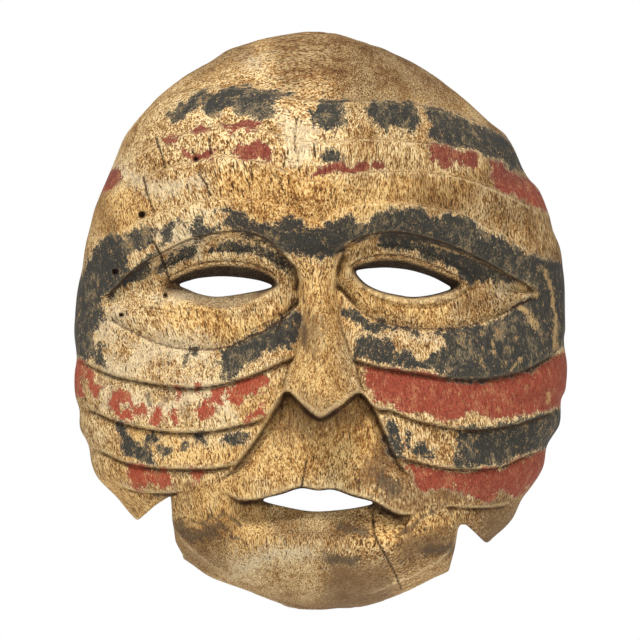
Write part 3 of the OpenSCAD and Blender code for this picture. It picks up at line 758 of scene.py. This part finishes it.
# Smudges, as (path, width): the charred patch on the jaw's left, and marks on the jaw, muzzle, nose and cheek
STAIN_PATHS = [
    ([(-49.9, -80), (-46.1, -80.4), (-43.6, -77.5), (-41.1, -79.6), (-38.5, -75.8), (-31.8, -81.7)], 0.9),
    ([(-40.2, -81.7), (-36, -83.4), (-35.2, -86.7), (-31.8, -86.7)], 0.9),
    ([(-56, -82), (-50, -86), (-42, -84)], 3.6),
    ([(8, -82), (18, -84)], 2.6),
    ([(3, -95), (14, -95)], 2.8),
    ([(42, -91.5), (52, -90.5)], 2.6),
    ([(24, -63), (29, -66)], 4.0),
    ([(30.5, -85), (44, -76)], 1.3),
    ([(-6, -3), (-6, -11)], 1.6),
    ([(-68, -30), (-68, -34)], 1.2),
    ([(-61, -31), (-61, -33)], 0.9),
]
# Each kind of weathering, with how far the edges of its rectangles fade
WEATHERING = {
    "thin": (THIN_PAINT, 4),
    "cream": (CREAM_PATCHES, 7),
    "gold": (GOLD_PATCHES, 7),
    "grey": (GREY_PATCHES, 9),
    "brown": (BROWN_PATCHES, 6),
}
# Fine cuts round the eyes and at the jaw's right corner
FINE_CUTS = [
    [(-8.8, 15.2), (-11.6, 4.8), (-19, 0), (-28, -4)],
    [(-70.9, 5.5), (-62.7, 4.1), (-53, 2)],
    [(49.6, -72.9), (52, -77), (53.4, -81.2)],
    [(-66, 12.6), (-60, 17.2), (-52, 21), (-44, 23.2), (-36, 23.6), (-28, 22.6), (-20, 19.6), (-16, 16)],
    [(11.4, 21), (16, 24.2), (24, 26), (32, 25.8), (40, 23.8), (48, 20.6), (56, 16.8)],
]
# Painted shade in the mouth's corners under the upper lip, at the eyes' ends and under the nose's tip, as
# (path, width)
SHADE_PATHS = [
    ([(-31, -73), (-25, -72.6), (-20, -73)], 1.3),
    ([(20, -73.6), (26, -76.2), (32, -79)], 1.3),
    ([(50, 13.2), (55, 13.4)], 1.3),
    ([(-60, 12.8), (-55, 14)], 1.3),
    ([(-18.6, 13.4), (-17, 14.2)], 1.0),
    ([(-6, -36), (-0.4, -40), (6, -36.5)], 1.0),
]
# Strokes where paint is rubbed off, as (path, width)
RUBBED_PATHS = [
    ([(89.5, 20.2), (92.3, 11.9), (93.7, 0.9), (93.3, -10.8)], 1.1),
    ([(80, 5), (83, 2.6), (86.5, -2.5)], 1.6),
    ([(69, -6), (68.6, -9), (69, -13)], 0.6),
    ([(80, -14.5), (76, -20)], 0.5),
    ([(91, -29), (91, -33)], 0.9),
    ([(36, 31), (46, 29.5), (56, 26.2), (66, 22), (76, 17.3)], 0.4),
    ([(79, 14), (84, 12), (86, 10)], 1.6),
]


def patches(x, z, boxes, soft):
    """How far places lie inside rectangles: 1 well inside one, 0.5 on its edge and 0 well outside."""
    total = np.zeros_like(x)
    for x0, x1, z0, z1 in boxes:
        inside = np.minimum(np.minimum(x - x0, x1 - x), np.minimum(z - z0, z1 - z))
        total = np.maximum(total, np.clip(0.5 + inside / (2 * soft), 0, 1))
    return total


def cover(x, z, outlines):
    """How thickly a paint lies, fading over a few millimetres at each patch's edge."""
    total = np.zeros_like(x)
    for outline in outlines:
        edge = inside_outline(x, z, outline)
        total = np.maximum(total, np.clip(PAINT_AT_EDGE + edge / PAINT_FADE, 0, 1))
    return total


def near_paths(x, z, paths):
    """1 on a path, falling off sideways as a bell curve of the path's width."""
    total = np.zeros_like(x)
    for path, width in paths:
        total = np.maximum(total, bump(to_path(x, z, path), 0, width))
    return total


def carved_lines(x, z):
    """Marks for dark lines, 1 on a line: dirt in the fine cuts, and painted shade along the lids', bags' and
    forehead bands' step lines.
    """
    on_side = (1 - beyond_eyes(x)) * (1 - middle(x, z))
    total = near_paths(x, z, [(path, 0.45) for path in FINE_CUTS])
    for name in ("lid", "bag"):
        total = np.maximum(total, on_side * bump(z, line[name](x) - 0.2, 0.55))
    for name in ("hairline", "forehead", "crease"):
        total = np.maximum(total, 0.55 * bump(z, line[name](x) - 0.3, 0.5))
    return total


def hole_marks(x, z):
    """1 in the holes."""
    total = np.zeros_like(x)
    for hole_x, hole_z, radius in HOLES:
        total = np.maximum(total, rise(np.hypot(x - hole_x, z - hole_z), radius + 0.5, radius - 0.2))
    return total


def eye_cuts(x, z):
    """Marks for the painted shade on the cut above each eye slot, and for the bevel below it."""
    above, below = np.zeros_like(x), np.zeros_like(x)
    for eye in EYES.values():
        inside = rise(inside_outline(x, z, rounded(eye["recess"], 3)), -0.2, 1)
        (left_x, left_z), (right_x, right_z) = min(eye["slot"]), max(eye["slot"])
        up = z - mix(left_z, right_z, (x - left_x) / (right_x - left_x))
        above = above + inside * rise(up, -0.5, 1)
        below = below + inside * rise(up, -0.5, -2)
    return above, below


def grain_lean(x):
    """How far the fibres lean from upright, in radians, to the left at their top where positive."""
    return np.radians(smooth_line([(-100, 22), (-60, 17), (-20, 6), (10, -3), (40, 5), (100, 13)])(x))


def waver(x, z, seed):
    """Millimetres by which the edges of paint and stains stray."""
    return 1.3 * flat_noise(x, z, 6, seed) + 0.7 * flat_noise(x, z, (2.4, 3), seed + 1)


def flat_marks(depth):
    """What the material reads, over the flat grid: crack_gap in millimetres, and the rest from 0 to 1."""
    x, z = FLAT_X, FLAT_Z
    wander, drift = waver(x, z, 21), waver(x, z, 23)
    big_x = x + 7 * flat_noise(x, z, 16, 25)
    big_z = z + 7 * flat_noise(x, z, 16, 26)
    inland = rise(inside_outline(x, z, OUTLINE), 2, 6)
    faint = mix(0.65, 1, rise(line["lid"](x) - z, -2, 4)) * inland
    # How far each place lies below its blurred surroundings: painted shade in creases and hollows, and below
    # zero on proud edges
    crease = blurred(depth, 1.3) - depth
    hollow = blurred(depth, 4) - depth
    soffit_shade, bevel = eye_cuts(x, z)
    cracks = np.minimum.reduce([to_path(x, z, crack) / gape for crack, gape in CRACKS])
    return {
        "black": cover(x + wander, z + drift, BLACK_PATCHES),
        "red": cover(x + wander, z + drift, RED_PATCHES),
        **{name: patches(big_x, big_z, boxes, soft) for name, (boxes, soft) in WEATHERING.items()},
        # Painted shade in fine creases, weaker above the lids
        "crease": rise(crease, 0.08, 0.85) * faint,
        # Proud edges: rubbed wear, with a painted highlight
        "ridge": rise(-crease, 0.05, 0.5) * inland,
        # Painted shade in broad hollows, such as the muzzle under the nose
        "hollow": rise(hollow, 0.1, 2.2) * inland,
        "stain": near_paths(x + 0.5 * wander, z + 0.5 * drift, STAIN_PATHS),
        "cut": carved_lines(x, z),
        "corner_shade": near_paths(x + 0.4 * wander, z + 0.3 * drift, SHADE_PATHS),
        "rubbed": near_paths(x + 0.3 * wander, z, RUBBED_PATHS),
        "holes": hole_marks(x, z),
        "soffit_shade": soffit_shade,
        "bevel": bevel,
        "crack_gap": np.clip(cracks + 0.12 * wander, 0, 4),
    }


def surface_marks(points, depth):
    """The flat marks at each vertex, its place in the gouge's scoops, and whether it is outside."""
    x, y, z = points.T
    marks = {name: sample(values, x, z) for name, values in flat_marks(depth).items()}
    left, right, deep = hollow_size(z)
    u = share(x, left, right)
    behind = mix(HOLLOW_WALL, deep, roundness(u)) + HOLLOW_MARGIN
    for paint in ("black", "red"):
        marks[paint] = marks[paint] * rise(-y, 1, 7)
    marks["gouge"] = mix(0.5, gouge_marks(x, z) / GOUGE_DEPTH, rise(-y, 0.5, 3))
    marks["outside"] = rise(-y - np.where(np.abs(u) < 1, behind, 0), -0.2, 0.5)
    return marks


def build_mask():
    """The carved face as one mesh, with the marks that its material reads as attributes."""
    depth = face_depth(FLAT_X, FLAT_Z)
    points, quads = carve_face(depth)
    mesh = bpy.data.meshes.new("mask_face")
    mesh.vertices.add(len(points))
    mesh.vertices.foreach_set("co", (points * MM).astype(np.float32).ravel())
    mesh.loops.add(quads.size)
    mesh.loops.foreach_set("vertex_index", quads[:, ::-1].astype(np.int32).ravel())
    mesh.polygons.add(len(quads))
    mesh.polygons.foreach_set("loop_start", np.arange(0, quads.size, 4, dtype=np.int32))
    mesh.update(calc_edges=True)
    mesh.validate()
    mesh.polygons.foreach_set("use_smooth", np.ones(len(mesh.polygons), bool))
    for name, values in surface_marks(points, depth).items():
        layer = mesh.attributes.new(name, "FLOAT", "POINT")
        layer.data.foreach_set("value", values.astype(np.float32))
    x, y, z = points.T
    lean = grain_lean(x)
    along_grain = np.stack([x * np.cos(lean) + z * np.sin(lean), y, z * np.cos(lean) - x * np.sin(lean)], 1)
    grain = mesh.attributes.new("grain", "FLOAT_VECTOR", "POINT")
    grain.data.foreach_set("vector", along_grain.astype(np.float32).ravel())
    mask = bpy.data.objects.new("mask_face", mesh)
    bpy.context.collection.objects.link(mask)
    return mask


# ---------------------------------------------------------------- materials


def srgb(red, green, blue):
    """A colour given as 0 to 255 in sRGB, as linear values."""
    linear = [((c / 255 + 0.055) / 1.055) ** 2.4 for c in (red, green, blue)]
    return (*linear, 1)


class Nodes:
    """Short calls that add nodes to a material."""

    def __init__(self, name):
        self.material = bpy.data.materials.new(name)
        self.material.use_nodes = True
        self.tree = self.material.node_tree
        self.shader = self.tree.nodes["Principled BSDF"]

    def put(self, socket, value):
        if isinstance(value, bpy.types.NodeSocket):
            self.tree.links.new(value, socket)
        else:
            socket.default_value = value

    def mark(self, name, output="Fac"):
        node = self.tree.nodes.new("ShaderNodeAttribute")
        node.attribute_name = name
        return node.outputs[output]

    def place(self):
        return self.tree.nodes.new("ShaderNodeTexCoord").outputs["Object"]

    def math(self, operation, a, b=0.0):
        node = self.tree.nodes.new("ShaderNodeMath")
        node.operation = operation
        self.put(node.inputs[0], a)
        self.put(node.inputs[1], b)
        return node.outputs[0]

    def total(self, *terms):
        """The sum of terms, each a value or (value, weight)."""
        result = 0.0
        for term in terms:
            value, weight = term if isinstance(term, tuple) else (term, 1.0)
            result = self.math("ADD", result, self.math("MULTIPLY", value, weight))
        return result

    def noise(self, where, scale, detail=2.0, rough=0.6, distort=0.0):
        """Noise about 0, mostly within 0.25 of it. scale is lumps per unit of where, along each axis."""
        stretch = self.tree.nodes.new("ShaderNodeMapping")
        self.put(stretch.inputs["Vector"], where)
        self.put(stretch.inputs["Scale"], scale)
        node = self.tree.nodes.new("ShaderNodeTexNoise")
        self.put(node.inputs["Vector"], stretch.outputs[0])
        self.put(node.inputs["Scale"], 1.0)
        self.put(node.inputs["Detail"], detail)
        self.put(node.inputs["Roughness"], rough)
        self.put(node.inputs["Distortion"], distort)
        return self.math("SUBTRACT", node.outputs["Fac"], 0.5)

    def step(self, value, start, end, low=0.0, high=1.0):
        node = self.tree.nodes.new("ShaderNodeMapRange")
        node.interpolation_type = "SMOOTHSTEP"
        for socket, given in zip(node.inputs, (value, start, end, low, high)):
            self.put(socket, given)
        return node.outputs[0]

    def ramp(self, value, *stops):
        """Colours along value from 0 to 1, each stop given as (value, colour)."""
        node = self.tree.nodes.new("ShaderNodeValToRGB")
        self.put(node.inputs["Fac"], value)
        elements = node.color_ramp.elements
        while len(elements) < len(stops):
            elements.new(0.5)
        for element, (position, colour) in zip(elements, stops):
            element.position = position
            element.color = colour
        return node.outputs["Color"]

    def blend(self, amount, below, above, strength=1.0, mode="MIX"):
        node = self.tree.nodes.new("ShaderNodeMix")
        node.data_type = "RGBA"
        node.blend_type = mode
        self.put(node.inputs["Factor"], self.math("MULTIPLY", amount, strength))
        self.put(node.inputs[6], below)
        self.put(node.inputs[7], above)
        return node.outputs[2]

    def raise_bump(self, height, distance, strength=1.0):
        node = self.tree.nodes.new("ShaderNodeBump")
        self.put(node.inputs["Height"], height)
        node.inputs["Distance"].default_value = distance
        node.inputs["Strength"].default_value = strength
        self.put(self.shader.inputs["Normal"], node.outputs[0])


FIBRE_DARK = srgb(112, 74, 38)
FIBRE_TAN = srgb(178, 136, 82)
FIBRE_GOLD = srgb(208, 170, 112)
FIBRE_PALE = srgb(238, 212, 160)
CHECK = srgb(62, 38, 20)
DUST = srgb(196, 190, 186)
GOLD = srgb(255, 243, 220)
GESSO = srgb(232, 214, 176)
# Dirt, also painted as shade into the holes and the corners of the mouth, eyes and nose
DIRT_AND_SHADE = srgb(48, 27, 14)
# Painted shade in creases, hollows and cuts, with dirt in the cuts
CREASE_SHADE_AND_DIRT = srgb(58, 34, 18)
# Painted shade on the cut above each eye slot
SOFFIT_SHADE = srgb(26, 14, 8)
SMUDGE = srgb(82, 68, 52)
GREY_WOOD = srgb(140, 122, 98)
BROWN_WOOD = srgb(116, 88, 58)
BLACK = srgb(40, 44, 43)
BLACK_WORN = srgb(116, 102, 78)
RED_LEFT = srgb(166, 68, 44)
RED_RIGHT = srgb(148, 60, 42)
RED_FOREHEAD = srgb(120, 50, 40)
RED_WORN = srgb(180, 108, 74)
HOLLOW_WOOD = srgb(158, 118, 76)
HOLLOW_DARK = srgb(88, 58, 34)
BRASS = srgb(190, 150, 80)
TARNISH = srgb(112, 84, 48)
WOOD_BUMP = 0.6 * MM
BRASS_BUMP = 0.05 * MM


class Grain:
    """Noises that the wood's colour, its paint and its bump share. The fibres run up the grain's Z."""

    def __init__(self, n):
        along = n.mark("grain", "Vector")
        self.fibres = n.noise(along, (2.1, 2.1, 0.38), 2, 0.6, 0.3)
        self.fine = n.noise(along, (2.6, 2.6, 0.9), 2, 0.7)
        self.checks = n.noise(along, (1.5, 1.5, 0.16), 1, 0.5, 0.4)
        self.pits = n.noise(along, (1.0, 1.0, 0.75), 2, 0.6)
        self.mottle = n.noise(along, (0.3, 0.3, 0.2), 3, 0.65, 0.4)
        self.broad = n.noise(along, (0.07, 0.07, 0.045), 2, 0.5)
        self.torn = n.noise(along, (0.42, 0.42, 0.3), 4, 0.72, 0.4)
        self.flecks = n.noise(along, (1.5, 1.5, 1.1), 2, 0.65)


def bare_wood(n, g):
    """Dry fibres from dark brown to cream, with dust, gesso, short checks and pits."""
    busy = n.step(n.total(g.mottle, g.broad), -0.2, 0.2, 0.55, 1.45)
    coarse = n.math("MULTIPLY", g.fibres, busy)
    pale = n.mark("cream")
    fibre_tone = n.total(0.47, (coarse, 3.1), (g.fine, 2.6), (g.mottle, 1.6), (g.broad, 0.9), (pale, 0.07))
    tone = n.total(fibre_tone, (n.mark("gold"), 0.15))
    wood = n.ramp(tone, (0.08, FIBRE_DARK), (0.4, FIBRE_TAN), (0.6, FIBRE_GOLD), (0.95, FIBRE_PALE))
    gold = n.step(n.total(n.mark("gold"), (g.mottle, 1.2)), 0.3, 0.8)
    wood = n.blend(gold, wood, GOLD, 1.0, "MULTIPLY")
    dust = n.step(n.total(n.mark("grey"), (g.mottle, 1.6), (g.fine, 1.0)), 0.35, 0.8)
    wood = n.blend(dust, wood, DUST, 1.0, "MULTIPLY")
    gesso = n.step(n.total(n.mark("cream"), (g.torn, 1.6), (g.flecks, 1.6)), 0.62, 0.86)
    wood = n.blend(gesso, wood, GESSO, 0.5)
    wood = n.blend(n.step(g.checks, 0.13, 0.18), wood, CHECK, 0.85)
    wood = n.blend(n.step(g.pits, 0.17, 0.24), wood, CHECK, 0.72)
    brown = n.step(n.total(n.mark("brown"), (g.torn, 2.0), (g.fine, 1.8), (g.flecks, 0.8)), 0.42, 0.7)
    return n.blend(brown, wood, BROWN_WOOD, 0.62)


def paint_cover(n, g, name):
    """Where one paint is left, ragged at its edges and flecked through, from 0 to 1."""
    flecked, split = n.step(g.flecks, 0.11, 0.18), n.step(g.fibres, 0.17, 0.24)
    lost = n.total((flecked, 0.5), (split, 0.4), (n.mark("thin"), 0.2))
    left = n.total(n.mark(name), (g.torn, 2.0), (g.flecks, 0.8), (lost, -0.9))
    return left, n.step(left, 0.49, 0.55)


def painted(n, g, wood):
    """The wood with its red and black paint, each over a pale rim of gesso."""
    side = n.tree.nodes.new("ShaderNodeSeparateXYZ")
    n.put(side.inputs[0], n.place())
    red = n.blend(n.step(side.outputs[0], -10 * MM, 15 * MM), RED_LEFT, RED_RIGHT)
    red = n.blend(n.step(side.outputs[2], 48 * MM, 56 * MM), red, RED_FOREHEAD, 0.85)
    red = n.blend(n.step(n.total(g.fine, (g.mottle, 2.0)), 0.0, 0.4), red, RED_WORN, 0.65)
    red = n.blend(n.step(n.total(g.fibres, g.fine), -0.02, -0.25), red, DIRT_AND_SHADE, 0.5)
    specks = n.total(g.fine, (g.flecks, 0.5))
    chipped = n.total(specks, (g.mottle, 1.0), (g.torn, 0.4))
    red = n.blend(n.step(chipped, 0.22, 0.29), red, FIBRE_TAN, 0.7)
    wear = n.total(g.fine, (g.mottle, 2.2), (g.fibres, 0.8), (g.broad, 1.0))
    black = n.blend(n.step(wear, 0.0, 0.45), BLACK, BLACK_WORN, 0.85)
    black = n.blend(n.step(chipped, 0.2, 0.27), black, FIBRE_TAN, 0.85)
    any_cover = 0.0
    for name, paint in (("red", red), ("black", black)):
        left, cover = paint_cover(n, g, name)
        rim = n.math("MULTIPLY", n.step(left, 0.3, 0.45), n.step(n.mark(name), 0.05, 0.3))
        wood = n.blend(rim, wood, GESSO, 0.2)
        wood = n.blend(cover, wood, paint, 0.95)
        any_cover = n.math("MAXIMUM", any_cover, cover)
    return wood, any_cover


def weathered(n, g, colour, cover):
    """Dirt in the cuts, worn edges with a painted highlight, smudges, cracks, and painted shade in hollows,
    creases, cuts and corners, over wood and paint alike.
    """
    # Painted shade: broad hollows darkened
    colour = n.blend(n.mark("hollow"), colour, CREASE_SHADE_AND_DIRT, 0.16)
    bare = n.math("SUBTRACT", 1.0, n.math("MULTIPLY", cover, 0.8))
    # Bare wood paler on proud edges: rubbed wear, with a painted highlight
    worn_and_lit_edge = n.math("MULTIPLY", n.step(n.total(n.mark("ridge"), (g.torn, 1.4), (g.fine, 0.8)), 0.4, 0.95), bare)
    colour = n.blend(worn_and_lit_edge, colour, FIBRE_PALE, 0.3)
    rubbed = n.step(n.total(n.mark("rubbed"), (g.torn, 3.0), (g.fine, 1.8), (g.fibres, 1.0)), 0.4, 0.75)
    colour = n.blend(rubbed, colour, FIBRE_GOLD, 0.62)
    stain = n.step(n.total(n.mark("stain"), (g.torn, 2.4), (g.fine, 2.0)), 0.4, 0.85)
    colour = n.blend(stain, colour, SMUDGE, 0.72)
    colour = n.blend(n.mark("bevel"), colour, GREY_WOOD, 0.5)
    # Painted shade on the cut above each eye slot
    colour = n.blend(n.mark("soffit_shade"), colour, SOFFIT_SHADE, 0.94)
    # Painted shade in fine creases
    crease = n.step(n.total(n.mark("crease"), (g.mottle, 1.6), (g.fine, 0.6)), 0.2, 1.0)
    colour = n.blend(crease, colour, CREASE_SHADE_AND_DIRT, 0.8)
    # Dark lines: dirt in the fine cuts, and painted shade along the bands' step lines
    cut = n.step(n.total(n.mark("cut"), (g.torn, 1.2), (g.fine, 0.8)), 0.3, 0.8)
    colour = n.blend(cut, colour, CREASE_SHADE_AND_DIRT, 0.75)
    # The holes painted dark inside, painted shade with old dirt, and painted shade in the mouth's corners, at
    # the eyes' ends and under the nose's tip
    colour = n.blend(n.math("MAXIMUM", n.mark("holes"), n.mark("corner_shade")), colour, DIRT_AND_SHADE, 0.88)
    crack = n.step(n.total(n.mark("crack_gap"), g.fine), 0.75, 0.3)
    return n.blend(crack, colour, DIRT_AND_SHADE, 0.85)


def wood_material():
    """Old softwood with steep grain, flaking paint, rubbed edges, dirt in its cuts, and painted shade in its
    hollows, creases and cuts.
    """
    n = Nodes("painted_wood")
    g = Grain(n)
    colour, cover = painted(n, g, bare_wood(n, g))
    colour = weathered(n, g, colour, cover)
    scooped = n.total((n.mark("gouge"), 0.4), (g.fibres, 1.0), (g.fine, 0.5), (g.mottle, 1.4))
    inner = n.blend(n.step(scooped, -0.25, 0.6), HOLLOW_DARK, HOLLOW_WOOD)
    colour = n.blend(n.mark("outside"), inner, colour)
    n.put(n.shader.inputs["Base Color"], colour)
    n.put(n.shader.inputs["Roughness"], n.step(cover, 0, 1, 0.88, 0.7))
    n.shader.inputs["Specular IOR Level"].default_value = 0.2
    height = n.total((g.fibres, 1.6), (g.fine, 1.2), (g.mottle, 0.8), (cover, 0.25),
                     (n.step(g.checks, 0.12, 0.18), -0.7), (n.step(g.pits, 0.16, 0.24), -0.6))
    n.raise_bump(height, WOOD_BUMP, 0.9)
    return n.material


def brass_material():
    """Dulled brass with fine rub marks and darker tarnish."""
    n = Nodes("dull_brass")
    tarnish = n.noise(n.place(), (260, 260, 260), 4, 0.6)
    rubs = n.noise(n.place(), (2600, 300, 2600))
    colour = n.blend(n.step(tarnish, -0.1, 0.15), BRASS, TARNISH)
    n.put(n.shader.inputs["Base Color"], colour)
    n.shader.inputs["Metallic"].default_value = 1.0
    n.put(n.shader.inputs["Roughness"], n.step(tarnish, -0.2, 0.2, 0.32, 0.55))
    n.raise_bump(rubs, BRASS_BUMP, 0.5)
    return n.material


mask = build_mask()
mask.data.materials.append(wood_material())
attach(mask, "mask")
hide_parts("carved_face")

brass = brass_material()
for node_name in ("hanger_strap", "hanger_ring", "hanger_screws"):
    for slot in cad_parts[node_name].material_slots:
        slot.material = brass
